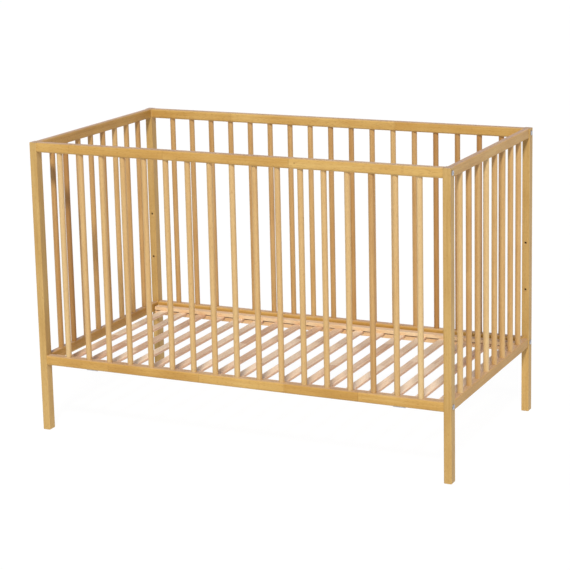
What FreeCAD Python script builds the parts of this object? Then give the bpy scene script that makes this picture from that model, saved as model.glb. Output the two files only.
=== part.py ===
"""Baby crib in beech: four posts joined by rails, round spindles on every side,
and a slatted base that can be set at three heights."""

import FreeCAD, Part
import math
import os

from FreeCAD import Vector

# Overall size (mm), posts only. The origin is on the floor at the middle of the
# footprint, X runs along the long sides and Z is up.
LENGTH = 1250.0
WIDTH = 680.0
HEIGHT = 838.0

# Corner posts
POST_X = 22.0
POST_Y = 28.0
POST_EDGE = 2.0
POST_END_EDGE = 1.0

# Rails: all eight have the same height, and the end rails are slimmer
RAIL_HEIGHT = 28.0
LOW_RAIL_BOTTOM = 193.0
SIDE_RAIL_THICKNESS = 25.0
SIDE_RAIL_EDGE = 6.0
END_RAIL_THICKNESS = 18.0
END_RAIL_EDGE = 4.0

# Round spindles, each with a glued tenon at both ends
SPINDLE_DIAMETER = 16.0
SPINDLE_SEAT = 2.0
TENON_DIAMETER = 10.0
TENON_LENGTH = 10.0
SIDE_SPINDLES = 17
END_SPINDLES = 8

# Slatted base: on each long side the slats sit in notches of a lower batten, under an upper one
BASE_END_GAP = 2.0
BASE_SIDE_GAP = 4.0
BASE_BELOW_RAIL_TOP = 10.0
BATTEN_DEPTH = 24.0
BATTEN_THICKNESS = 11.0
BATTEN_BELOW_SLATS = 6.5
BATTEN_EDGE = 1.5
SLAT_COUNT = 18
SLAT_WIDTH = 28.0
SLAT_THICKNESS = 8.0
SLAT_EDGE = 3.5
NOTCH_PLAY = 3.0
BATTEN_GAP = 2.5

# Bolts near the base's corners that clamp its battens together
BASE_BOLT_DIAMETER = 6.0
BASE_BOLT_FROM_END = 52.0
BASE_BOLT_HEAD_DIAMETER = 13.0
BASE_BOLT_HEAD_THICKNESS = 2.4
BASE_BOLT_SEAT_DIAMETER = 14.0
BASE_BOLT_SEAT_DEPTH = 2.6
BASE_NUT_ACROSS_FLATS = 10.0
BASE_NUT_THICKNESS = 3.0

# Steel angles that the base rests on, screwed to the inner faces of the low side rails
ANGLE_LENGTH = 36.0
ANGLE_SHELF = 22.0
ANGLE_SHEET = 1.5
ANGLE_X = 469.0
ANGLE_TOP_BELOW_BASE_TOP = 2.0
ANGLE_SCREW_DIAMETER = 4.0
ANGLE_SCREW_LENGTH = 12.0
ANGLE_SCREW_SPACING = 20.0
ANGLE_SCREW_BELOW_BASE_TOP = 9.0
ANGLE_SCREW_HEAD_DIAMETER = 7.0
ANGLE_SCREW_HEAD_THICKNESS = 1.4

# Connector bolts through the posts into cross nuts in the long rails
CONNECTOR_DIAMETER = 6.0
CONNECTOR_LENGTH = 60.0
CONNECTOR_HEAD_DIAMETER = 14.0
CONNECTOR_HEAD_THICKNESS = 2.0
CONNECTOR_HEAD_EDGE = 0.8
CONNECTOR_KEY = 4.0
CONNECTOR_KEY_DEPTH = 3.0
CROSS_NUT_DIAMETER = 10.0
CROSS_NUT_LENGTH = 14.0
CROSS_NUT_FROM_RAIL_END = 30.0

# Wooden dowels in the joints between rails and posts
DOWEL_DIAMETER = 6.0
DOWEL_LENGTH = 24.0
DOWEL_IN_POST = 10.0
SIDE_DOWEL_BELOW_BOLT = 9.0
END_DOWEL_OFFSET = 7.0

# Spare fixing holes in the posts for the two raised heights of the base
SPARE_HOLE_DIAMETER = 7.0
SPARE_HOLE_DEPTH = 20.0
SPARE_HOLE_HEIGHTS = (367.0, 505.0)

# Places worked out from the sizes above
HALF_LENGTH = LENGTH / 2
POST_INNER_X = HALF_LENGTH - POST_X
POST_INNER_Y = WIDTH / 2 - POST_Y
POST_CENTRE_X = HALF_LENGTH - POST_X / 2
POST_CENTRE_Y = WIDTH / 2 - POST_Y / 2
RAIL_INNER_Y = POST_CENTRE_Y - SIDE_RAIL_THICKNESS / 2
LOW_RAIL_TOP = LOW_RAIL_BOTTOM + RAIL_HEIGHT
LOW_RAIL_Z = LOW_RAIL_BOTTOM + RAIL_HEIGHT / 2
TOP_RAIL_Z = HEIGHT - RAIL_HEIGHT / 2
SIDE_PITCH = 2 * POST_INNER_X / (SIDE_SPINDLES + 1)
END_PITCH = 2 * POST_INNER_Y / (END_SPINDLES + 1)
BASE_HALF_LENGTH = POST_INNER_X - BASE_END_GAP
BASE_HALF_WIDTH = RAIL_INNER_Y - BASE_SIDE_GAP
BASE_TOP = LOW_RAIL_TOP - BASE_BELOW_RAIL_TOP
SLAT_TOP = BASE_TOP - BATTEN_THICKNESS
SLAT_BOTTOM = SLAT_TOP - SLAT_THICKNESS
BASE_BOTTOM = SLAT_BOTTOM - BATTEN_BELOW_SLATS
BATTEN_Y = BASE_HALF_WIDTH - BATTEN_DEPTH / 2
BASE_BOLT_X = BASE_HALF_LENGTH - BASE_BOLT_FROM_END
BASE_BOLT_SEAT = BASE_TOP - BASE_BOLT_SEAT_DEPTH

X_AXIS = Vector(1, 0, 0)
Y_AXIS = Vector(0, 1, 0)
Z_AXIS = Vector(0, 0, 1)
SIDES = (-1, 1)
CORNERS = [(x_side, y_side) for x_side in SIDES for y_side in SIDES]
JOINTS = [(x_side, y_side, z) for x_side, y_side in CORNERS for z in (LOW_RAIL_Z, TOP_RAIL_Z)]


def centred_box(size, centre):
    """A box of the given size about its centre."""
    size = Vector(*size)
    return Part.makeBox(size.x, size.y, size.z, Vector(*centre) - size / 2)


def rod(diameter, length, start, axis):
    """A round bar from a start point along an axis."""
    return Part.makeCylinder(diameter / 2, length, Vector(*start), axis)


def hexagon_prism(across_flats, depth, start, axis):
    """A hexagonal bar from the centre of one end along an axis."""
    radius = across_flats / math.sqrt(3)
    spoke = Z_AXIS if abs(axis.z) < 0.5 else X_AXIS
    turn = FreeCAD.Rotation(axis, 60)
    corners = []
    for _ in range(6):
        corners.append(Vector(*start) + spoke * radius)
        spoke = turn.multVec(spoke)
    outline = Part.makePolygon(corners + corners[:1])
    return Part.Face(outline).extrude(axis * depth)


def softened(shape, radius, axis):
    """The shape with its long straight edges along an axis rounded."""
    edges = []
    for edge in shape.Edges:
        step = edge.Vertexes[-1].Point - edge.Vertexes[0].Point
        if abs(step.dot(axis)) > 0.999 * step.Length > 0:
            edges.append(edge)
    return shape.makeFillet(radius, edges)


def spaced(count, pitch):
    """Evenly spaced positions about the middle."""
    first = -pitch * (count - 1) / 2
    return [first + pitch * index for index in range(count)]


def save(name, solids):
    """Write one node: a single solid, or a group of separate solids."""
    shape = solids[0] if len(solids) == 1 else Part.makeCompound(solids)
    if not shape.isValid() or len(shape.Solids) != len(solids):
        raise ValueError("bad shape in " + name)
    shape.exportStep(os.path.join("parts", name + ".step"))


def connector_hole(x_side, y_side, z):
    """The hole for a connector bolt, through the post and into the rail."""
    start = (x_side * HALF_LENGTH, y_side * POST_CENTRE_Y, z)
    return rod(CONNECTOR_DIAMETER, CONNECTOR_LENGTH, start, X_AXIS * -x_side)


def connector_bolt(x_side, y_side, z):
    """A connector bolt with a flat round head and a hexagonal key socket."""
    inward = X_AXIS * -x_side
    outer_face = Vector(x_side * HALF_LENGTH, y_side * POST_CENTRE_Y, z)
    head_top = outer_face - inward * CONNECTOR_HEAD_THICKNESS
    head = rod(CONNECTOR_HEAD_DIAMETER, CONNECTOR_HEAD_THICKNESS, head_top, inward)
    rim = [edge for edge in head.Edges if abs(edge.CenterOfMass.x - head_top.x) < 0.01]
    bolt = head.makeChamfer(CONNECTOR_HEAD_EDGE, rim).fuse(connector_hole(x_side, y_side, z))
    socket = hexagon_prism(CONNECTOR_KEY, CONNECTOR_KEY_DEPTH, head_top, inward)
    return bolt.removeSplitter().cut(socket).Solids[0]


def cross_nut_place(x_side, y_side, z):
    """The lower end of a cross nut, which stands upright in its rail."""
    x = x_side * (POST_INNER_X - CROSS_NUT_FROM_RAIL_END)
    return Vector(x, y_side * POST_CENTRE_Y, z - CROSS_NUT_LENGTH / 2)


def cross_nut(x_side, y_side, z):
    """The round nut that a connector bolt screws into."""
    nut = rod(CROSS_NUT_DIAMETER, CROSS_NUT_LENGTH, cross_nut_place(x_side, y_side, z), Z_AXIS)
    return nut.cut(connector_hole(x_side, y_side, z)).Solids[0]


def cross_nut_hole(x_side, y_side, z):
    """The hole for a cross nut, drilled from the underside of the rail."""
    drop = Z_AXIS * (RAIL_HEIGHT / 2)
    start = cross_nut_place(x_side, y_side, z) - drop
    return rod(CROSS_NUT_DIAMETER, CROSS_NUT_LENGTH + drop.z, start, Z_AXIS)


def side_dowel(x_side, y_side, z):
    """The locating dowel under a connector bolt, between a post and a side rail."""
    x = x_side * (POST_INNER_X + DOWEL_IN_POST)
    start = (x, y_side * POST_CENTRE_Y, z - SIDE_DOWEL_BELOW_BOLT)
    return rod(DOWEL_DIAMETER, DOWEL_LENGTH, start, X_AXIS * -x_side)


def end_dowels(x_side, y_side, z):
    """The two glued dowels between a post and an end rail."""
    y = y_side * (POST_INNER_Y + DOWEL_IN_POST)
    heights = (z - END_DOWEL_OFFSET, z + END_DOWEL_OFFSET)
    places = [(x_side * POST_CENTRE_X, y, height) for height in heights]
    return [rod(DOWEL_DIAMETER, DOWEL_LENGTH, place, Y_AXIS * -y_side) for place in places]


def spare_hole(x_side, y_side, z):
    """A blind fixing hole in the inner face of a post."""
    start = (x_side * POST_CENTRE_X, y_side * (POST_INNER_Y + SPARE_HOLE_DEPTH), z)
    return rod(SPARE_HOLE_DIAMETER, SPARE_HOLE_DEPTH, start, Y_AXIS * -y_side)


def post(x_side, y_side):
    """A corner post with rounded corners, softened ends and all its drillings."""
    centre = (x_side * POST_CENTRE_X, y_side * POST_CENTRE_Y, HEIGHT / 2)
    shape = softened(centred_box((POST_X, POST_Y, HEIGHT), centre), POST_EDGE, Z_AXIS)
    ends = [edge for edge in shape.Edges if abs(edge.CenterOfMass.z - HEIGHT / 2) > HEIGHT / 2 - 0.01]
    shape = shape.makeChamfer(POST_END_EDGE, ends)
    drillings = [spare_hole(x_side, y_side, z) for z in SPARE_HOLE_HEIGHTS]
    for z in (LOW_RAIL_Z, TOP_RAIL_Z):
        drillings.append(connector_hole(x_side, y_side, z))
        drillings.append(side_dowel(x_side, y_side, z))
        drillings.extend(end_dowels(x_side, y_side, z))
    return shape.cut(drillings).Solids[0]


def spindle(x, y):
    """A round spindle with a tenon at each end."""
    body_bottom = LOW_RAIL_TOP - SPINDLE_SEAT
    body_top = HEIGHT - RAIL_HEIGHT + SPINDLE_SEAT
    body = rod(SPINDLE_DIAMETER, body_top - body_bottom, (x, y, body_bottom), Z_AXIS)
    whole_length = body_top - body_bottom + 2 * TENON_LENGTH
    tenons = rod(TENON_DIAMETER, whole_length, (x, y, body_bottom - TENON_LENGTH), Z_AXIS)
    return body.fuse(tenons).removeSplitter().Solids[0]


def side_spindles(y_side):
    """The spindles of one long side."""
    return [spindle(x, y_side * POST_CENTRE_Y) for x in spaced(SIDE_SPINDLES, SIDE_PITCH)]


def end_spindles(x_side):
    """The spindles of one end."""
    return [spindle(x_side * POST_CENTRE_X, y) for y in spaced(END_SPINDLES, END_PITCH)]


def side_rail(y_side, z):
    """A long rail, drilled for its spindles, connectors, dowels and angle screws."""
    size = (2 * POST_INNER_X, SIDE_RAIL_THICKNESS, RAIL_HEIGHT)
    shape = softened(centred_box(size, (0, y_side * POST_CENTRE_Y, z)), SIDE_RAIL_EDGE, X_AXIS)
    drillings = side_spindles(y_side)
    for x_side in SIDES:
        drillings.append(connector_hole(x_side, y_side, z))
        drillings.append(cross_nut_hole(x_side, y_side, z))
        drillings.append(side_dowel(x_side, y_side, z))
        if z == LOW_RAIL_Z:
            drillings.extend(angle_screw_holes(x_side, y_side))
    return shape.cut(drillings).Solids[0]


def end_rail(x_side, z):
    """A short rail, drilled for its spindles and dowels."""
    size = (END_RAIL_THICKNESS, 2 * POST_INNER_Y, RAIL_HEIGHT)
    shape = softened(centred_box(size, (x_side * POST_CENTRE_X, 0, z)), END_RAIL_EDGE, Y_AXIS)
    drillings = end_spindles(x_side)
    for y_side in SIDES:
        drillings.extend(end_dowels(x_side, y_side, z))
    return shape.cut(drillings).Solids[0]


def angle_screw_faces(x_side, y_side):
    """Where the two screws of one steel angle pass through its inner face."""
    y = y_side * (RAIL_INNER_Y - ANGLE_SHEET)
    z = BASE_TOP - ANGLE_SCREW_BELOW_BASE_TOP
    return [Vector(x_side * ANGLE_X + offset, y, z) for offset in spaced(2, ANGLE_SCREW_SPACING)]


def angle_screw_holes(x_side, y_side):
    """The screw holes, from inside the crib through a steel angle and into its rail."""
    outward = Y_AXIS * y_side
    starts = [face - outward for face in angle_screw_faces(x_side, y_side)]
    return [rod(ANGLE_SCREW_DIAMETER, ANGLE_SCREW_LENGTH + 1, start, outward) for start in starts]


def angle_screws(x_side, y_side):
    """The two pan-head screws of one steel angle."""
    outward = Y_AXIS * y_side
    screws = []
    for face in angle_screw_faces(x_side, y_side):
        head_top = face - outward * ANGLE_SCREW_HEAD_THICKNESS
        head = rod(ANGLE_SCREW_HEAD_DIAMETER, ANGLE_SCREW_HEAD_THICKNESS, head_top, outward)
        shank = rod(ANGLE_SCREW_DIAMETER, ANGLE_SCREW_LENGTH, face, outward)
        screws.append(head.fuse(shank).removeSplitter().Solids[0])
    return screws


def steel_angle(x_side, y_side):
    """A folded steel angle: an upright leg on the rail and a shelf under the base."""
    x = x_side * ANGLE_X
    bottom = BASE_BOTTOM - ANGLE_SHEET
    leg_height = BASE_TOP - ANGLE_TOP_BELOW_BASE_TOP - bottom
    leg_centre = (x, y_side * (RAIL_INNER_Y - ANGLE_SHEET / 2), bottom + leg_height / 2)
    shelf_centre = (x, y_side * (RAIL_INNER_Y - ANGLE_SHELF / 2), bottom + ANGLE_SHEET / 2)
    leg = centred_box((ANGLE_LENGTH, ANGLE_SHEET, leg_height), leg_centre)
    shelf = centred_box((ANGLE_LENGTH, ANGLE_SHELF, ANGLE_SHEET), shelf_centre)
    angle = leg.fuse(shelf).removeSplitter()
    return angle.cut(angle_screw_holes(x_side, y_side)).Solids[0]


def base_bolt(x_side, y_side):
    """A bolt down through both battens, with its head sunk flush and room for its nut."""
    x = x_side * BASE_BOLT_X
    y = y_side * BATTEN_Y
    bottom = BASE_BOTTOM - BASE_NUT_THICKNESS
    shank = rod(BASE_BOLT_DIAMETER, BASE_BOLT_SEAT - bottom, (x, y, bottom), Z_AXIS)
    head = rod(BASE_BOLT_HEAD_DIAMETER, BASE_BOLT_HEAD_THICKNESS, (x, y, BASE_BOLT_SEAT), Z_AXIS)
    head_top = BASE_BOLT_SEAT + BASE_BOLT_HEAD_THICKNESS
    rim = [edge for edge in head.Edges if edge.CenterOfMass.z > head_top - 0.01]
    return head.makeFillet(BASE_BOLT_HEAD_THICKNESS / 2, rim).fuse(shank).removeSplitter().Solids[0]


def base_bolt_hole(x_side, y_side):
    """The hole for a base bolt, with a counterbore for its head."""
    x = x_side * BASE_BOLT_X
    y = y_side * BATTEN_Y
    hole = rod(BASE_BOLT_DIAMETER, BASE_TOP - BASE_BOTTOM, (x, y, BASE_BOTTOM), Z_AXIS)
    counterbore = rod(BASE_BOLT_SEAT_DIAMETER, BASE_BOLT_SEAT_DEPTH, (x, y, BASE_BOLT_SEAT), Z_AXIS)
    return hole.fuse(counterbore).removeSplitter().Solids[0]


def base_nut(x_side, y_side):
    """The hexagonal nut under a base bolt."""
    bottom = (x_side * BASE_BOLT_X, y_side * BATTEN_Y, BASE_BOTTOM - BASE_NUT_THICKNESS)
    nut = hexagon_prism(BASE_NUT_ACROSS_FLATS, BASE_NUT_THICKNESS, bottom, Z_AXIS)
    return nut.cut(rod(BASE_BOLT_DIAMETER, BASE_NUT_THICKNESS, bottom, Z_AXIS)).Solids[0]


def batten(y_side, bottom, height):
    """A batten of the base, drilled for its two bolts."""
    centre = (0, y_side * BATTEN_Y, bottom + height / 2)
    size = (2 * BASE_HALF_LENGTH, BATTEN_DEPTH, height)
    shape = softened(centred_box(size, centre), BATTEN_EDGE, X_AXIS)
    return shape.cut([base_bolt_hole(x_side, y_side) for x_side in SIDES]).Solids[0]


def slat_notch(x, y_side):
    """The room for one slat across a lower batten, a little wider than the slat."""
    size = (SLAT_WIDTH + NOTCH_PLAY, BATTEN_DEPTH + 1, SLAT_THICKNESS)
    return centred_box(size, (x, y_side * BATTEN_Y, SLAT_BOTTOM + SLAT_THICKNESS / 2))


def lower_batten(y_side):
    """A lower batten, notched for the slats and a little clear of the upper batten."""
    height = SLAT_TOP - BATTEN_GAP - BASE_BOTTOM
    shape = batten(y_side, BASE_BOTTOM, height)
    return shape.cut([slat_notch(x, y_side) for x in spaced(SLAT_COUNT, SIDE_PITCH)]).Solids[0]


def slat(x):
    """A slat with well rounded edges, as long as the base is wide."""
    centre = (x, 0, SLAT_BOTTOM + SLAT_THICKNESS / 2)
    size = (SLAT_WIDTH, 2 * BASE_HALF_WIDTH, SLAT_THICKNESS)
    return softened(centred_box(size, centre), SLAT_EDGE, Y_AXIS)


def build_frame():
    """Posts, rails and spindles."""
    end_names = {-1: "left", 1: "right"}
    side_names = {-1: "front", 1: "back"}
    for x_side, y_side in CORNERS:
        save(side_names[y_side] + "_" + end_names[x_side] + "_post", [post(x_side, y_side)])
    for y_side, name in side_names.items():
        save(name + "_top_rail", [side_rail(y_side, TOP_RAIL_Z)])
        save(name + "_low_rail", [side_rail(y_side, LOW_RAIL_Z)])
        save(name + "_spindles", side_spindles(y_side))
    for x_side, name in end_names.items():
        save(name + "_end_top_rail", [end_rail(x_side, TOP_RAIL_Z)])
        save(name + "_end_low_rail", [end_rail(x_side, LOW_RAIL_Z)])
        save(name + "_end_spindles", end_spindles(x_side))


def build_fixings():
    """The bolts, nuts, dowels, angles and screws that hold the frame and carry the base."""
    save("connector_bolts", [connector_bolt(*joint) for joint in JOINTS])
    save("cross_nuts", [cross_nut(*joint) for joint in JOINTS])
    save("side_rail_dowels", [side_dowel(*joint) for joint in JOINTS])
    save("end_rail_dowels", [dowel for joint in JOINTS for dowel in end_dowels(*joint)])
    save("steel_angles", [steel_angle(*corner) for corner in CORNERS])
    save("angle_screws", [screw for corner in CORNERS for screw in angle_screws(*corner)])


def build_base():
    """The slatted base with its battens, slats, bolts and nuts."""
    for y_side, name in ((-1, "front"), (1, "back")):
        save(name + "_upper_batten", [batten(y_side, SLAT_TOP, BATTEN_THICKNESS)])
        save(name + "_lower_batten", [lower_batten(y_side)])
    for number, x in enumerate(spaced(SLAT_COUNT, SIDE_PITCH), start=1):
        save("slat_{:02d}".format(number), [slat(x)])
    save("base_bolts", [base_bolt(*corner) for corner in CORNERS])
    save("base_nuts", [base_nut(*corner) for corner in CORNERS])


os.makedirs("parts", exist_ok=True)
build_frame()
build_fixings()
build_base()
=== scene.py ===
"""Looks for the beech baby crib: lacquered beech frame and spindles, raw beech slats and zinc-plated fittings."""

import logging
import math
import random
from collections.abc import Iterable, Mapping
from dataclasses import dataclass
from enum import Enum
from typing import Any

import bpy
from mathutils import Matrix, Vector


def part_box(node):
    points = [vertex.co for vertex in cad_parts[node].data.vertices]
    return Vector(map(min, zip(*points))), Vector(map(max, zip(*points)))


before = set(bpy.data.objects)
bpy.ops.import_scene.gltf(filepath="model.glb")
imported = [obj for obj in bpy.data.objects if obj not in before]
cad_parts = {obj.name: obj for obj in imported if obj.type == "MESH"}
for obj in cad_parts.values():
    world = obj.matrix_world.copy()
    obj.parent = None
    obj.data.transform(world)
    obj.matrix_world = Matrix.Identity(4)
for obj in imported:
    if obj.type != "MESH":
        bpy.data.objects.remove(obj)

Tree = bpy.types.NodeTree
Socket = bpy.types.NodeSocket
Sockets = bpy.types.bpy_prop_collection
Pair = tuple[float, float]
Triple = tuple[float, float, float]

LOG = logging.getLogger("crib")
MM = 0.001
# The middle of a colour ramp, from which every tone is counted: more is darker, less is paler.
MIDDLE = 0.5
# A piece's number and its node's seed times these steps shift its figure, so that no two boards are alike.
NUMBER_STEP = 7.3
SEED_STEP = 1.618
ROW_SEED_STEP = 3.7
# The number of a piece that is alone in its node.
LONE_NUMBER = 0.37


class Axis(Enum):
    """The axis that grain or a row of pieces runs along, by its index."""

    X = 0
    Y = 1
    Z = 2


@dataclass(frozen=True)
class Colour:
    """One sRGB colour, given as six hex digits."""

    hex: str

    def linear(self) -> tuple[float, float, float, float]:
        """Turn the colour to the linear values that a shader takes.

        Returns:
            Red, green, blue and an alpha of one.
        """
        shares = [int(self.hex[at:at + 2], 16) / 255 for at in (0, 2, 4)]
        values = [share / 12.92 if share <= 0.04045 else ((share + 0.055) / 1.055) ** 2.4 for share in shares]
        return (values[0], values[1], values[2], 1.0)


def add_node(
    tree: Tree,
    kind: str,
    values: Mapping[int | str, Any] | None = None,
    links: Mapping[int | str, Socket] | None = None,
    **settings: Any,
) -> bpy.types.Node:
    """Add one node to a tree.

    Args:
        tree: The tree that takes the node.
        kind: The node's Blender type.
        values: Values for its input sockets.
        links: Output sockets to join to its input sockets.
        **settings: The node's own properties.

    Returns:
        The new node.
    """
    node = tree.nodes.new(kind)
    for name, setting in settings.items():
        setattr(node, name, setting)
    for socket, value in (values or {}).items():
        node.inputs[socket].default_value = value
    for socket, source in (links or {}).items():
        tree.links.new(source, node.inputs[socket])
    return node


def fill_ramp(ramp: bpy.types.Node, stops: Iterable[tuple[float, tuple[float, ...]]], mode: str = "LINEAR") -> None:
    """Set the stops of a colour ramp.

    Args:
        ramp: The colour ramp node.
        stops: Positions from 0 to 1 with their colours, in order.
        mode: How the ramp blends between stops.
    """
    places = tuple(stops)
    elements = ramp.color_ramp.elements
    ramp.color_ramp.interpolation = mode
    while len(elements) < len(places):
        elements.new(1.0)
    for element, (position, colour) in zip(elements, places):
        element.position = position
        element.color = colour


def new_material(name: str) -> tuple[bpy.types.Material, bpy.types.Node]:
    """Make an empty node material.

    Args:
        name: The material's name.

    Returns:
        The material and its output node.
    """
    material = bpy.data.materials.new(name)
    material.use_nodes = True
    material.node_tree.nodes.clear()
    return material, add_node(material.node_tree, "ShaderNodeOutputMaterial")


@dataclass(frozen=True)
class Figure:
    """Noise that is stretched along the grain, sized in metres across and along it."""

    width: float
    length: float
    detail: float = 0.0
    waviness: float = 0.0

    def draw(self, tree: Tree, where: Socket, grain: Axis) -> Socket:
        """Draw the noise.

        Args:
            tree: The material's tree.
            where: The place on the board.
            grain: The direction of the grain.

        Returns:
            The socket with a value about one half.
        """
        scale = [1 / self.width] * 3
        scale[grain.value] = 1 / self.length
        mapped = add_node(tree, "ShaderNodeVectorMath", {1: scale}, {0: where}, operation="MULTIPLY").outputs[0]
        noise = add_node(
            tree,
            "ShaderNodeTexNoise",
            {"Scale": 1.0, "Detail": self.detail, "Roughness": 0.5, "Distortion": self.waviness},
            {"Vector": mapped},
        )
        return noise.outputs[0]


@dataclass(frozen=True)
class Staves:
    """How a piece is finger-jointed from shorter staves: its joints, each stave's tone, and its pin knots."""

    joints: tuple[float, ...]
    tones: tuple[float, ...]
    low: float
    high: float
    knots: tuple[Triple, ...] = ()
    joint_width: float = 1.2 * MM
    knot_radius: float = 3.0 * MM

    def tell_apart(self, tree: Tree, along: Socket) -> tuple[Socket, Socket]:
        """Find the stave that each place is on.

        Args:
            tree: The material's tree.
            along: The place along the grain.

        Returns:
            The stave's number and its tone.
        """
        share = add_node(tree, "ShaderNodeMapRange", {1: self.low, 2: self.high}, {0: along}).outputs[0]
        ramp = add_node(tree, "ShaderNodeValToRGB", links={0: share})
        starts = (0.0, *((joint - self.low) / (self.high - self.low) for joint in self.joints))
        fill_ramp(ramp, ((at, (MIDDLE + tone,) * 3 + (1.0,)) for at, tone in zip(starts, self.tones)), "CONSTANT")
        number = ramp.outputs[0]
        tone = add_node(tree, "ShaderNodeMath", {1: MIDDLE}, {0: number}, operation="SUBTRACT").outputs[0]
        return number, tone


@dataclass(frozen=True)
class Rank:
    """Round pieces in one node that repeat at an even pitch, so that each can take a tone of its own."""

    first: float
    pitch: float
    tone_spread: float
    axis: Axis

    @classmethod
    def within(cls, name: str, axis: Axis, count: int, tone_spread: float) -> "Rank":
        """Work out a row's pitch from the box of the node that holds it.

        Args:
            name: The node's name.
            axis: The level axis that the row runs along.
            count: How many pieces there are.
            tone_spread: How far their tones differ.

        Returns:
            The row.
        """
        low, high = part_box(name)
        along, across = axis.value, 1 - axis.value
        diameter = high[across] - low[across]
        pitch = (high[along] - low[along] - diameter) / (count - 1)
        return cls(low[along] + diameter / 2, pitch, tone_spread, axis)

    def tell_apart(self, tree: Tree, place: Socket, seed: int) -> tuple[Socket, Socket]:
        """Find the piece that each place is on.

        Args:
            tree: The material's tree.
            place: The place along the row.
            seed: The node's seed.

        Returns:
            The piece's number and its tone.
        """
        offset = add_node(tree, "ShaderNodeMath", {1: self.first}, {0: place}, operation="SUBTRACT").outputs[0]
        steps = add_node(tree, "ShaderNodeMath", {1: self.pitch}, {0: offset}, operation="DIVIDE").outputs[0]
        index = add_node(tree, "ShaderNodeMath", links={0: steps}, operation="ROUND").outputs[0]
        number = add_node(
            tree, "ShaderNodeTexWhiteNoise", {"W": seed * ROW_SEED_STEP}, {"Vector": index}, noise_dimensions="4D"
        ).outputs["Value"]
        # The cube keeps most pieces near the usual tone and lets a few stand out.
        half = add_node(tree, "ShaderNodeMath", {1: 0.5}, {0: number}, operation="SUBTRACT").outputs[0]
        double = add_node(tree, "ShaderNodeMath", {1: 2.0}, {0: half}, operation="MULTIPLY").outputs[0]
        square = add_node(tree, "ShaderNodeMath", links={0: double, 1: double}, operation="MULTIPLY").outputs[0]
        cube = add_node(tree, "ShaderNodeMath", links={0: square, 1: double}, operation="MULTIPLY").outputs[0]
        tone = add_node(tree, "ShaderNodeMath", {1: self.tone_spread}, {0: cube}, operation="MULTIPLY").outputs[0]
        return number, tone


@dataclass(frozen=True)
class Board:
    """How one node's timber is cut: its grain, its seed and tone, and the staves or the row that it holds."""

    grain: Axis
    seed: int
    tone: float = 0.0
    staves: Staves | None = None
    rank: Rank | None = None


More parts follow.
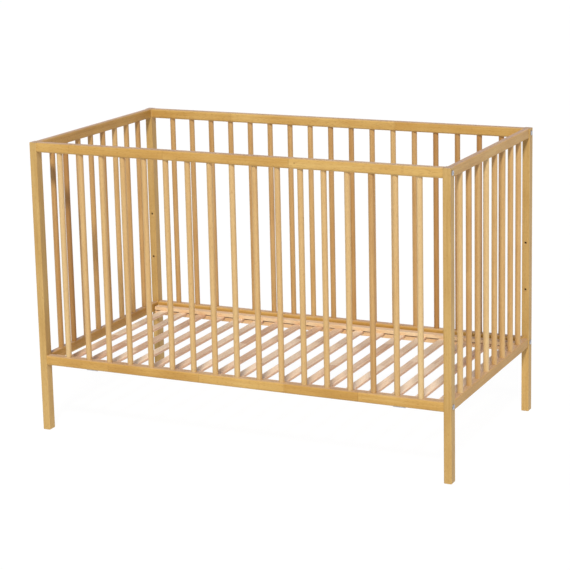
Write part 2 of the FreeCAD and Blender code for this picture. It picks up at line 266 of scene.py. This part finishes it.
@dataclass(frozen=True)
class Beech:
    """Steamed European beech, planed and sanded: close straight grain, small dark ray flecks, soft tone bands."""

    label: str
    pale: Colour
    middle: Colour
    deep: Colour
    fleck: Colour
    roughness: float
    coat: float
    coat_roughness: float = 0.3
    ior: float = 1.5
    gloss: float = 0.3
    roughness_swing: Pair = (-0.05, 0.08)
    bump_depth: float = 0.06 * MM
    bump_strength: float = 0.5
    # Where the pale, middle and deep colours stand on the ramp of tones.
    ramp_places: Triple = (0.08, MIDDLE, 0.95)
    # Growth bands are 2 to 4 mm wide on a planed board, and are drawn 5 mm wide so that they show.
    band_width: float = 5.0 * MM
    band_length: float = 240.0 * MM
    band_weight: float = 0.75
    # Fibres are 0.2 mm wide, and are drawn 0.9 mm wide so that their sheen shows.
    fibre_width: float = 0.9 * MM
    fibre_length: float = 60.0 * MM
    fibre_weight: float = 0.35
    # Cloudy patches of tone run along a board for about the width of a hand.
    blotch_size: float = 110.0 * MM
    blotch_shape: float = 0.3
    blotch: float = 0.5
    # Ray flecks are 0.3 mm wide and 3 mm long, and are drawn 1.1 mm by 9 mm so that they show.
    fleck_width: float = 1.1 * MM
    fleck_length: float = 9.0 * MM
    fleck_range: Pair = (0.60, 0.74)
    fleck_share: float = 0.35
    # Glue lines and pin knots are a dark brown.
    joint_tint: Colour = Colour("7a4f24")
    joint_share: float = 0.35
    knot_share: float = 0.9
    # Each of these ranges says how squarely a face has to lie before an effect starts, and where it is full.
    end_range: Pair = (0.75, 0.95)
    end_share: float = 0.4
    # Painted shade: side faces across the grain are darkened towards the deep colour.
    side_shade_range: Pair = (0.3, 0.9)
    side_shade: float = 0.0
    # Painted highlight: rounded arrises are lightened towards the pale colour.
    arris_highlight_range: Pair = (0.15, 0.5)
    arris_highlight: float = 0.10
    # Painted reflection: upward faces are greyed towards a cool tint.
    top_reflection_range: Pair = (0.5, 0.95)
    top_reflection: float = 0.0
    top_reflection_tint: Colour = Colour("b6a9ac")

    def dress(self, board: Board) -> bpy.types.Material:
        """Make this timber for one board, or for a row of like pieces.

        Args:
            board: How the timber is cut.

        Returns:
            The material.
        """
        material, output = new_material(f"{self.label}_{board.seed:02d}")
        tree = material.node_tree
        where = add_node(tree, "ShaderNodeTexCoord").outputs["Object"]
        axes = add_node(tree, "ShaderNodeSeparateXYZ", links={0: where}).outputs
        number, own_tone = self._tell_apart(tree, axes, board)
        jump = add_node(
            tree, "ShaderNodeMath", {1: NUMBER_STEP, 2: board.seed * SEED_STEP}, {0: number}, operation="MULTIPLY_ADD"
        ).outputs[0]
        shift = add_node(tree, "ShaderNodeCombineXYZ", links={axis.value: jump for axis in Axis}).outputs[0]
        moved = add_node(tree, "ShaderNodeVectorMath", links={0: where, 1: shift}, operation="ADD").outputs[0]
        bands = Figure(self.band_width, self.band_length, 2.0, 0.6).draw(tree, moved, board.grain)
        fibres = Figure(self.fibre_width, self.fibre_length, 1.0).draw(tree, moved, board.grain)
        flecks = Figure(self.fleck_width, self.fleck_length).draw(tree, moved, board.grain)
        blotches = Figure(self.blotch_size * self.blotch_shape, self.blotch_size, 1.0).draw(tree, moved, board.grain)
        level = add_node(
            tree, "ShaderNodeMath", {1: MIDDLE + board.tone}, {0: own_tone}, operation="ADD"
        ).outputs[0]
        for source, weight in ((bands, self.band_weight), (fibres, self.fibre_weight), (blotches, self.blotch)):
            centred = add_node(tree, "ShaderNodeMath", {1: 0.5}, {0: source}, operation="SUBTRACT").outputs[0]
            level = add_node(
                tree, "ShaderNodeMath", {1: weight}, {0: centred, 2: level}, operation="MULTIPLY_ADD"
            ).outputs[0]
        ramp = add_node(tree, "ShaderNodeValToRGB", links={0: level})
        tints = (self.pale.linear(), self.middle.linear(), self.deep.linear())
        fill_ramp(ramp, zip(self.ramp_places, tints))
        colour = self._fleck(tree, flecks, ramp.outputs[0])
        colour = self._join(tree, axes[board.grain.value], board.staves, colour)
        colour = self._knot(tree, where, board.staves, colour)
        colour = self._darken_ends_and_paint_edge_light(tree, board.grain, colour)
        colour = self._paint_top_reflection(tree, colour)
        self._shine(tree, colour, bands, fibres, output)
        return material

    def _tell_apart(self, tree: Tree, axes: Sockets, board: Board) -> tuple[Socket, Socket]:
        """Find the stave or the piece that each place is on.

        Args:
            tree: The material's tree.
            axes: The sockets with the place along each axis.
            board: How the timber is cut.

        Returns:
            The piece's number and its own tone.
        """
        if board.staves is not None:
            return board.staves.tell_apart(tree, axes[board.grain.value])
        if board.rank is not None:
            return board.rank.tell_apart(tree, axes[board.rank.axis.value], board.seed)
        number = add_node(tree, "ShaderNodeValue").outputs[0]
        number.default_value = LONE_NUMBER
        tone = add_node(tree, "ShaderNodeValue").outputs[0]
        tone.default_value = 0.0
        return number, tone

    def _fleck(self, tree: Tree, flecks: Socket, colour: Socket) -> Socket:
        """Lay the ray flecks over the timber.

        Args:
            tree: The material's tree.
            flecks: The fleck figure.
            colour: The colour below.

        Returns:
            The new colour's socket.
        """
        start, full = self.fleck_range
        mask = add_node(
            tree, "ShaderNodeMapRange", {1: start, 2: full, 3: 0.0, 4: self.fleck_share}, {0: flecks}
        ).outputs[0]
        return add_node(
            tree, "ShaderNodeMix", {7: self.fleck.linear()}, {0: mask, 6: colour}, data_type="RGBA"
        ).outputs[2]

    def _join(self, tree: Tree, along: Socket, staves: Staves | None, colour: Socket) -> Socket:
        """Draw the glue line of each finger joint.

        Args:
            tree: The material's tree.
            along: The place along the grain.
            staves: The staves, if any.
            colour: The colour below.

        Returns:
            The new colour's socket.
        """
        for joint in staves.joints if staves else ():
            line = add_node(
                tree, "ShaderNodeMath", {1: joint, 2: staves.joint_width / 2}, {0: along}, operation="COMPARE"
            ).outputs[0]
            share = add_node(
                tree, "ShaderNodeMath", {1: self.joint_share}, {0: line}, operation="MULTIPLY"
            ).outputs[0]
            colour = add_node(
                tree, "ShaderNodeMix", {7: self.joint_tint.linear()}, {0: share, 6: colour}, data_type="RGBA"
            ).outputs[2]
        return colour

    def _knot(self, tree: Tree, where: Socket, staves: Staves | None, colour: Socket) -> Socket:
        """Put a small dark pin knot at each place that has one.

        Args:
            tree: The material's tree.
            where: The place on the board.
            staves: The staves with their knots, if any.
            colour: The colour below.

        Returns:
            The new colour's socket.
        """
        for knot in staves.knots if staves else ():
            far = add_node(
                tree, "ShaderNodeVectorMath", {1: knot}, {0: where}, operation="DISTANCE"
            ).outputs["Value"]
            share = add_node(
                tree, "ShaderNodeMapRange", {1: staves.knot_radius, 2: 0.0, 3: 0.0, 4: self.knot_share}, {0: far}
            ).outputs[0]
            colour = add_node(
                tree, "ShaderNodeMix", {7: self.joint_tint.linear()}, {0: share, 6: colour}, data_type="RGBA"
            ).outputs[2]
        return colour

    def _darken_ends_and_paint_edge_light(self, tree: Tree, grain: Axis, colour: Socket) -> Socket:
        """Darken the end grain, darken the sawn edges as painted shade, and lighten the arrises as a painted
        highlight.

        Args:
            tree: The material's tree.
            grain: The direction of the grain.
            colour: The colour below.

        Returns:
            The new colour's socket.
        """
        normal = add_node(tree, "ShaderNodeNewGeometry").outputs["Normal"]
        size = add_node(tree, "ShaderNodeVectorMath", links={0: normal}, operation="ABSOLUTE").outputs[0]
        parts = add_node(tree, "ShaderNodeSeparateXYZ", links={0: size}).outputs
        # The side faces that take the painted shade.
        edge = parts[Axis.X.value if grain is Axis.Y else Axis.Y.value]
        sides = [parts[axis.value] for axis in Axis if axis is not grain]
        # Diagonal faces on the rounded arrises, which take the painted highlight.
        lean = add_node(tree, "ShaderNodeMath", links={0: sides[0], 1: sides[1]}, operation="MULTIPLY").outputs[0]
        layers = (
            (parts[grain.value], self.end_range, self.end_share, self.deep),
            (edge, self.side_shade_range, self.side_shade, self.deep),
            (lean, self.arris_highlight_range, self.arris_highlight, self.pale),
        )
        for source, (start, full), most, tint in layers:
            share = add_node(
                tree, "ShaderNodeMapRange", {1: start, 2: full, 3: 0.0, 4: most}, {0: source}
            ).outputs[0]
            colour = add_node(
                tree, "ShaderNodeMix", {7: tint.linear()}, {0: share, 6: colour}, data_type="RGBA"
            ).outputs[2]
        return colour

    def _paint_top_reflection(self, tree: Tree, colour: Socket) -> Socket:
        """Lay a cool grey painted reflection on upward faces.

        Args:
            tree: The material's tree.
            colour: The colour below.

        Returns:
            The new colour's socket.
        """
        start, full = self.top_reflection_range
        normal = add_node(tree, "ShaderNodeNewGeometry").outputs["Normal"]
        upward = add_node(tree, "ShaderNodeSeparateXYZ", links={0: normal}).outputs[2]
        share = add_node(
            tree, "ShaderNodeMapRange", {1: start, 2: full, 3: 0.0, 4: self.top_reflection}, {0: upward}
        ).outputs[0]
        return add_node(
            tree, "ShaderNodeMix", {7: self.top_reflection_tint.linear()}, {0: share, 6: colour}, data_type="RGBA"
        ).outputs[2]

    def _shine(self, tree: Tree, colour: Socket, bands: Socket, fibres: Socket, output: bpy.types.Node) -> None:
        """Give the timber its sheen and relief, and join it to the output.

        Args:
            tree: The material's tree.
            colour: The finished colour.
            bands: The band figure.
            fibres: The fibre figure.
            output: The material's output node.
        """
        least, most = (self.roughness + swing for swing in self.roughness_swing)
        rough = add_node(tree, "ShaderNodeMapRange", {3: least, 4: most}, {0: fibres}).outputs[0]
        relief = add_node(tree, "ShaderNodeMath", links={0: fibres, 1: bands}, operation="ADD").outputs[0]
        bump = add_node(
            tree, "ShaderNodeBump", {"Strength": self.bump_strength, "Distance": self.bump_depth}, {"Height": relief}
        ).outputs[0]
        shader = add_node(
            tree,
            "ShaderNodeBsdfPrincipled",
            {
                "Coat Weight": self.coat,
                "Coat Roughness": self.coat_roughness,
                "IOR": self.ior,
                "Specular IOR Level": self.gloss,
            },
            {"Base Color": colour, "Roughness": rough, "Normal": bump},
        )
        tree.links.new(shader.outputs[0], output.inputs[0])


@dataclass(frozen=True)
class ZincPlate:
    """Steel with bright zinc plating: a cool silver with a soft, slightly cloudy shine."""

    label: str
    bright: Colour = Colour("c9ccd3")
    dull: Colour = Colour("9a9da6")
    ramp_places: Pair = (0.3, 0.7)
    roughness: float = 0.32
    roughness_swing: Pair = (0.1, -0.06)
    # Plating clouds over in patches of a few millimetres.
    cloud_size: float = 3.0 * MM
    cloud_detail: float = 3.0
    bump_depth: float = 0.05 * MM
    bump_strength: float = 0.2

    def dress(self) -> bpy.types.Material:
        """Make the plating.

        Returns:
            The material.
        """
        material, output = new_material(self.label)
        tree = material.node_tree
        where = add_node(tree, "ShaderNodeTexCoord").outputs["Object"]
        cloud = add_node(
            tree, "ShaderNodeTexNoise", {"Scale": 1 / self.cloud_size, "Detail": self.cloud_detail}, {"Vector": where}
        ).outputs[0]
        ramp = add_node(tree, "ShaderNodeValToRGB", links={0: cloud})
        fill_ramp(ramp, zip(self.ramp_places, (self.dull.linear(), self.bright.linear())))
        dull, bright = (self.roughness + swing for swing in self.roughness_swing)
        rough = add_node(tree, "ShaderNodeMapRange", {3: dull, 4: bright}, {0: cloud}).outputs[0]
        bump = add_node(
            tree, "ShaderNodeBump", {"Strength": self.bump_strength, "Distance": self.bump_depth}, {"Height": cloud}
        ).outputs[0]
        shader = add_node(
            tree,
            "ShaderNodeBsdfPrincipled",
            {"Metallic": 1.0},
            {"Base Color": ramp.outputs[0], "Roughness": rough, "Normal": bump},
        )
        tree.links.new(shader.outputs[0], output.inputs[0])
        return material


# Clear satin lacquer over planed beech: a warm straw colour with a soft sheen, a painted grey reflection where it
# faces up, and a painted highlight on its arrises.
LACQUERED_POST = Beech(
    "satin_lacquered_beech_post",
    pale=Colour("cdad72"), middle=Colour("be9c60"), deep=Colour("a88044"), fleck=Colour("936932"),
    roughness=0.48, coat=0.06, gloss=0.2, top_reflection=0.3, band_weight=0.5,
)
# The same lacquer on finger-jointed rails: a stronger honey colour that steps from stave to stave, with the same
# painted grey reflection where it faces up.
LACQUERED_RAIL = Beech(
    "satin_lacquered_beech_rail",
    pale=Colour("d2b06c"), middle=Colour("c09650"), deep=Colour("a67832"), fleck=Colour("8c5f25"),
    roughness=0.48, coat=0.12, gloss=0.25, top_reflection=0.3, band_weight=0.5,
)
# Turned and lacquered spindles: paler than the rails, glossier down the round, with a few dark ones among them.
LACQUERED_SPINDLE = Beech(
    "satin_lacquered_beech_spindle",
    pale=Colour("d4b785"), middle=Colour("c8a46d"), deep=Colour("a87a42"), fleck=Colour("976d36"),
    roughness=0.45, coat=0.2, band_width=4.0 * MM, band_weight=0.4, fibre_weight=0.25, blotch=0.3,
    bump_depth=0.03 * MM,
)
# Planed battens with the thinnest coat: creamy orange, with only a trace of sheen and a painted grey reflection on
# their tops.
PLANED_BATTEN = Beech(
    "planed_beech_batten",
    pale=Colour("eed7b2"), middle=Colour("e4c399"), deep=Colour("c79a68"), fleck=Colour("b08252"),
    roughness=0.5, coat=0.1, band_weight=0.45, top_reflection=0.3,
)
# Raw slats, sanded until they shine a little: pale and pinkish on the face, with painted shade that turns the sawn
# edges brown.
RAW_SLAT = Beech(
    "sanded_raw_beech_slat",
    pale=Colour("f8e6cf"), middle=Colour("efd6ba"), deep=Colour("cda383"), fleck=Colour("b88f6e"),
    roughness=0.55, coat=0.1, blotch=0.8, blotch_size=260.0 * MM, side_shade=0.85, arris_highlight=0.0,
)
# Birch dowels, whose close grain is drawn as beech: pale and quite matt, and unseen once the joints are closed.
PLAIN_DOWEL = Beech(
    "plain_birch_dowel",
    pale=Colour("e8d8ba"), middle=Colour("dcc7a2"), deep=Colour("c7a97d"), fleck=Colour("b6946a"),
    roughness=0.65, coat=0.0,
)


def put_on(node: str, material: bpy.types.Material) -> None:
    """Give one node of the frame its finish.

    Args:
        node: The node's name.
        material: The finish.
    """
    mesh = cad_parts[node].data
    mesh.materials.clear()
    mesh.materials.append(material)
    for face in mesh.polygons:
        face.material_index = 0
    LOG.info("%s: %s", node, material.name)


@dataclass(frozen=True)
class Posts:
    """The four corner posts."""

    names: tuple[str, ...] = ("front_left_post", "back_left_post", "front_right_post", "back_right_post")
    tones: tuple[float, ...] = (0.0, 0.08, 0.02, 0.04)
    finish: Beech = LACQUERED_POST

    def dress(self) -> None:
        """Give each post its own board of beech."""
        for seed, (name, tone) in enumerate(zip(self.names, self.tones), start=1):
            put_on(name, self.finish.dress(Board(Axis.Z, seed, tone)))


@dataclass(frozen=True)
class SidePanel:
    """A long side: two rails and seventeen spindles."""

    side: str
    top_joints: tuple[float, ...]
    top_tones: tuple[float, ...]
    low_joints: tuple[float, ...]
    low_tones: tuple[float, ...]
    seed: int
    spindle_tone: float
    top_knots: tuple[Triple, ...] = ()
    spindle_count: int = 17
    spindle_spread: float = 0.42
    rail_finish: Beech = LACQUERED_RAIL
    spindle_finish: Beech = LACQUERED_SPINDLE

    def dress(self) -> None:
        """Dress the rails stave by stave, and the spindles one by one."""
        rails = (
            ("top", self.top_joints, self.top_tones, self.top_knots),
            ("low", self.low_joints, self.low_tones, ()),
        )
        for seed, (level, joints, tones, knots) in enumerate(rails, start=self.seed):
            name = f"{self.side}_{level}_rail"
            low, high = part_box(name)
            staves = Staves(joints, tones, low[0], high[0], knots)
            put_on(name, self.rail_finish.dress(Board(Axis.X, seed, staves=staves)))
        name = f"{self.side}_spindles"
        rank = Rank.within(name, Axis.X, self.spindle_count, self.spindle_spread)
        board = Board(Axis.Z, self.seed + len(rails), self.spindle_tone, rank=rank)
        put_on(name, self.spindle_finish.dress(board))


@dataclass(frozen=True)
class EndPanel:
    """A short end: two rails and eight spindles."""

    end: str
    seed: int
    tones: Pair
    spindle_tone: float
    spindle_count: int = 8
    spindle_spread: float = 0.42
    rail_finish: Beech = LACQUERED_RAIL
    spindle_finish: Beech = LACQUERED_SPINDLE

    def dress(self) -> None:
        """Dress both rails and each spindle."""
        for seed, (level, tone) in enumerate(zip(("top", "low"), self.tones), start=self.seed):
            put_on(f"{self.end}_end_{level}_rail", self.rail_finish.dress(Board(Axis.Y, seed, tone)))
        name = f"{self.end}_end_spindles"
        rank = Rank.within(name, Axis.Y, self.spindle_count, self.spindle_spread)
        board = Board(Axis.Z, self.seed + len(self.tones), self.spindle_tone, rank=rank)
        put_on(name, self.spindle_finish.dress(board))


@dataclass(frozen=True)
class SlattedBase:
    """The slatted base: four battens and eighteen slats. Its bolts and nuts are plated with the other fittings."""

    slat_count: int = 18
    slat_spread: float = 0.24
    joint_range: Pair = (0.2, 0.8)
    batten_tones: tuple[tuple[str, float], ...] = (("upper", -0.05), ("lower", 0.3))
    seed: int = 40
    slat_finish: Beech = RAW_SLAT
    batten_finish: Beech = PLANED_BATTEN

    def dress_slats(self) -> None:
        """Give each slat its own board, joined once from two staves."""
        draw = random.Random(self.seed)
        for number in range(1, self.slat_count + 1):
            name = f"slat_{number:02d}"
            low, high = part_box(name)
            joint = low[1] + (high[1] - low[1]) * draw.uniform(*self.joint_range)
            tones = tuple(draw.uniform(-self.slat_spread, self.slat_spread) for _ in range(2))
            staves = Staves((joint,), tones, low[1], high[1])
            put_on(name, self.slat_finish.dress(Board(Axis.Y, self.seed + number, staves=staves)))

    def dress_battens(self) -> None:
        """Dress the battens, the lower ones darker because the slats shade them."""
        seed = self.seed + self.slat_count
        for side in ("front", "back"):
            for level, tone in self.batten_tones:
                seed += 1
                put_on(f"{side}_{level}_batten", self.batten_finish.dress(Board(Axis.X, seed, tone)))

    def dress(self) -> None:
        """Dress the slats and the battens."""
        self.dress_slats()
        self.dress_battens()


@dataclass(frozen=True)
class Fittings:
    """The steel fittings, and the dowels inside the joints."""

    steel_nodes: tuple[str, ...] = (
        "connector_bolts", "cross_nuts", "steel_angles", "angle_screws", "base_bolts", "base_nuts",
    )
    seed: int = 90
    plate: ZincPlate = ZincPlate("bright_zinc_plated_steel")
    dowel: Beech = PLAIN_DOWEL

    def dress(self) -> None:
        """Plate the steel and dress the dowels."""
        plating = self.plate.dress()
        for name in self.steel_nodes:
            put_on(name, plating)
        put_on("side_rail_dowels", self.dowel.dress(Board(Axis.X, self.seed)))
        put_on("end_rail_dowels", self.dowel.dress(Board(Axis.Y, self.seed + 1)))


@dataclass(frozen=True)
class Studio:
    """A plain pale floor, soft light from the front right, a backdrop behind, and the camera."""

    # Matt paper that glows: an even white from edge to edge, with hardly a shadow on it.
    floor_size: float = 90.0
    floor_colour: Colour = Colour("fcfcfc")
    floor_shade: Colour = Colour("3c3c3c")
    floor_roughness: float = 0.9
    floor_glow: float = 1.0
    # A dim sky leaves the sides that face away from the key light deep in tone.
    sky_colour: Colour = Colour("eeeefa")
    sky_strength: float = 0.18
    # A lilac backdrop stands low behind the crib and gives rails and slats their cool sheen at a low angle.
    backdrop_colour: Colour = Colour("ece6ff")
    backdrop_strength: float = 1.15
    # How far back a direction has to point for the backdrop to start and to be full, and the same for how high.
    backdrop_depth: Pair = (0.1, 0.5)
    backdrop_height: Pair = (0.55, 0.25)
    key_from: Triple = (0.24, -0.62, 0.75)
    key_colour: Colour = Colour("fffaf0")
    key_strength: float = 3.3
    key_softness: float = math.radians(9)
    camera_at: Triple = (2.1660, -4.5354, 1.6665)
    camera_yaw: float = 0.42015
    camera_pitch: float = 0.19895
    camera_roll: float = -0.01712
    camera_lens: float = 113.933
    camera_shift: Pair = (-0.0789, -0.1526)

    def build_camera(self) -> None:
        """Stand the camera to the right of the front, looking down on the crib."""
        data = bpy.data.cameras.new("camera")
        data.lens = self.camera_lens
        data.shift_x, data.shift_y = self.camera_shift
        camera = bpy.data.objects.new("camera", data)
        bpy.context.scene.collection.objects.link(camera)
        flat = math.cos(self.camera_pitch)
        ahead = Vector((
            -math.sin(self.camera_yaw) * flat,
            math.cos(self.camera_yaw) * flat,
            -math.sin(self.camera_pitch),
        ))
        level = Vector((math.cos(self.camera_yaw), math.sin(self.camera_yaw), 0.0))
        right = Matrix.Rotation(-self.camera_roll, 3, ahead) @ level
        turn = Matrix((right, right.cross(ahead), -ahead)).transposed()
        camera.matrix_world = Matrix.LocRotScale(Vector(self.camera_at), turn, None)
        bpy.context.scene.camera = camera

    def build_floor(self) -> None:
        """Lay a pale floor that glows a little, so that it reads as a white sweep."""
        half = self.floor_size / 2
        mesh = bpy.data.meshes.new("floor")
        corners = ((-half, -half, 0), (half, -half, 0), (half, half, 0), (-half, half, 0))
        mesh.from_pydata(corners, (), ((0, 1, 2, 3),))
        floor = bpy.data.objects.new("floor", mesh)
        bpy.context.scene.collection.objects.link(floor)
        material, output = new_material("matt_white_sweep")
        shader = add_node(
            material.node_tree,
            "ShaderNodeBsdfPrincipled",
            {
                "Base Color": self.floor_shade.linear(),
                "Roughness": self.floor_roughness,
                "Specular IOR Level": 0.0,
                "Emission Color": self.floor_colour.linear(),
                "Emission Strength": self.floor_glow,
            },
        )
        material.node_tree.links.new(shader.outputs[0], output.inputs[0])
        mesh.materials.append(material)

    def build_surroundings(self) -> None:
        """Set the dim sky, and the pale backdrop low behind the crib."""
        world = bpy.data.worlds.new("studio")
        world.use_nodes = True
        tree = world.node_tree
        tree.nodes.clear()
        toward = add_node(tree, "ShaderNodeTexCoord").outputs["Generated"]
        axes = add_node(tree, "ShaderNodeSeparateXYZ", links={0: toward}).outputs
        behind, low = (
            add_node(
                tree, "ShaderNodeMapRange", {1: start, 2: full}, {0: axes[axis.value]}, interpolation_type="SMOOTHSTEP"
            ).outputs[0]
            for axis, (start, full) in ((Axis.Y, self.backdrop_depth), (Axis.Z, self.backdrop_height))
        )
        backdrop = add_node(tree, "ShaderNodeMath", links={0: behind, 1: low}, operation="MULTIPLY").outputs[0]
        colour = add_node(
            tree,
            "ShaderNodeMix",
            {6: self.sky_colour.linear(), 7: self.backdrop_colour.linear()},
            {0: backdrop},
            data_type="RGBA",
        ).outputs[2]
        strength = add_node(
            tree, "ShaderNodeMapRange", {3: self.sky_strength, 4: self.backdrop_strength}, {0: backdrop}
        ).outputs[0]
        sky = add_node(tree, "ShaderNodeBackground", links={"Color": colour, "Strength": strength})
        add_node(tree, "ShaderNodeOutputWorld", links={0: sky.outputs[0]})
        bpy.context.scene.world = world

    def build_key_light(self) -> None:
        """Set the soft key light."""
        data = bpy.data.lights.new("key", "SUN")
        data.energy = self.key_strength
        data.angle = self.key_softness
        data.color = self.key_colour.linear()[:3]
        key = bpy.data.objects.new("key", data)
        key.rotation_mode = "QUATERNION"
        key.rotation_quaternion = Vector(self.key_from).to_track_quat("Z", "Y")
        bpy.context.scene.collection.objects.link(key)

    def build(self) -> None:
        """Build the camera, the floor and the light."""
        bpy.context.scene.view_settings.view_transform = "Standard"
        self.build_camera()
        self.build_floor()
        self.build_surroundings()
        self.build_key_light()


def main() -> None:
    """Build the studio, then dress the crib piece by piece."""
    logging.basicConfig(level=logging.INFO, format="%(message)s")
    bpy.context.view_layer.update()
    Studio().build()
    assemblies = (
        Posts(),
        SidePanel(
            "front",
            top_joints=(-0.497, -0.203, 0.173),
            top_tones=(-0.05, 0.02, -0.02, -0.22),
            low_joints=(-0.401, -0.114, 0.144, 0.361),
            low_tones=(0.0, 0.08, -0.12, 0.15, -0.06),
            seed=10,
            spindle_tone=-0.05,
            top_knots=((0.190, -0.3385, 0.826),),
        ),
        SidePanel(
            "back",
            top_joints=(-0.329, 0.21),
            top_tones=(-0.12, -0.2, -0.05),
            low_joints=(-0.42, -0.06, 0.28),
            low_tones=(0.0, -0.08, 0.08, 0.0),
            seed=16,
            spindle_tone=0.18,
        ),
        EndPanel("left", seed=22, tones=(0.05, 0.15), spindle_tone=0.22),
        EndPanel("right", seed=28, tones=(0.05, 0.1), spindle_tone=0.1),
        SlattedBase(),
        Fittings(),
    )
    for assembly in assemblies:
        assembly.dress()
        LOG.info("dressed %s", type(assembly).__name__)


if __name__ == "__main__":
    main()
